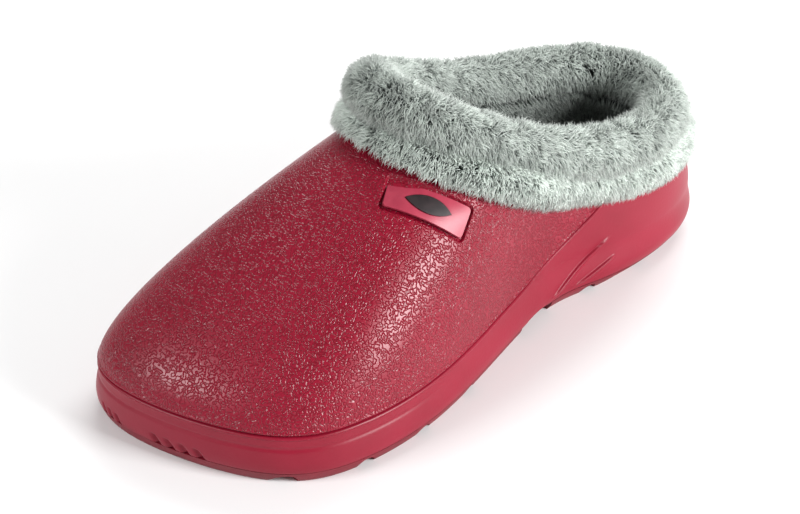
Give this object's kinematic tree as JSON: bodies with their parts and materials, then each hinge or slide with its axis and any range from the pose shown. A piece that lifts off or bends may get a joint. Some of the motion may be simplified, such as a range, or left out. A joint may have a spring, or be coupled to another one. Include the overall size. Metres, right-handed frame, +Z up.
{
  "type": "garden clog",
  "caption": "Moulded backed garden clog for the left foot, with a pebbled upper, lugged sole and a removable fleece liner rolled over the collar.",
  "frame": {"origin": "ground under the middle of the sole's box", "axes": "+Z up, toe towards -Y, outer side of the left foot towards +X"},
  "size_m": [0.1126, 0.2799, 0.1156],
  "materials": {
    "shell_foam": "satin moulded foam rubber",
    "tread_rubber": "matte moulded rubber",
    "badge": "satin rubber",
    "leaf": "matte rubber",
    "fleece": "grey plush pile",
    "soft_foam": "open-cell foam",
    "elastic": "covered elastic cord",
    "tape": "woven tape"
  },
  "bodies": {
    "root": {"upper_vamp": "shell_foam", "sole_unit": "shell_foam", "forefoot_tread": "tread_rubber", "heel_tread": "tread_rubber", "badge_plate": "badge", "badge_leaf": "leaf", "collar_roll": "fleece", "collar_foam": "soft_foam", "collar_band": "fleece", "hem_elastic": "elastic", "liner_front": "fleece", "liner_back": "fleece", "liner_seam_tape": "tape", "liner_sole": "fleece", "insole_foam": "soft_foam"}
  },
  "joints": []
}
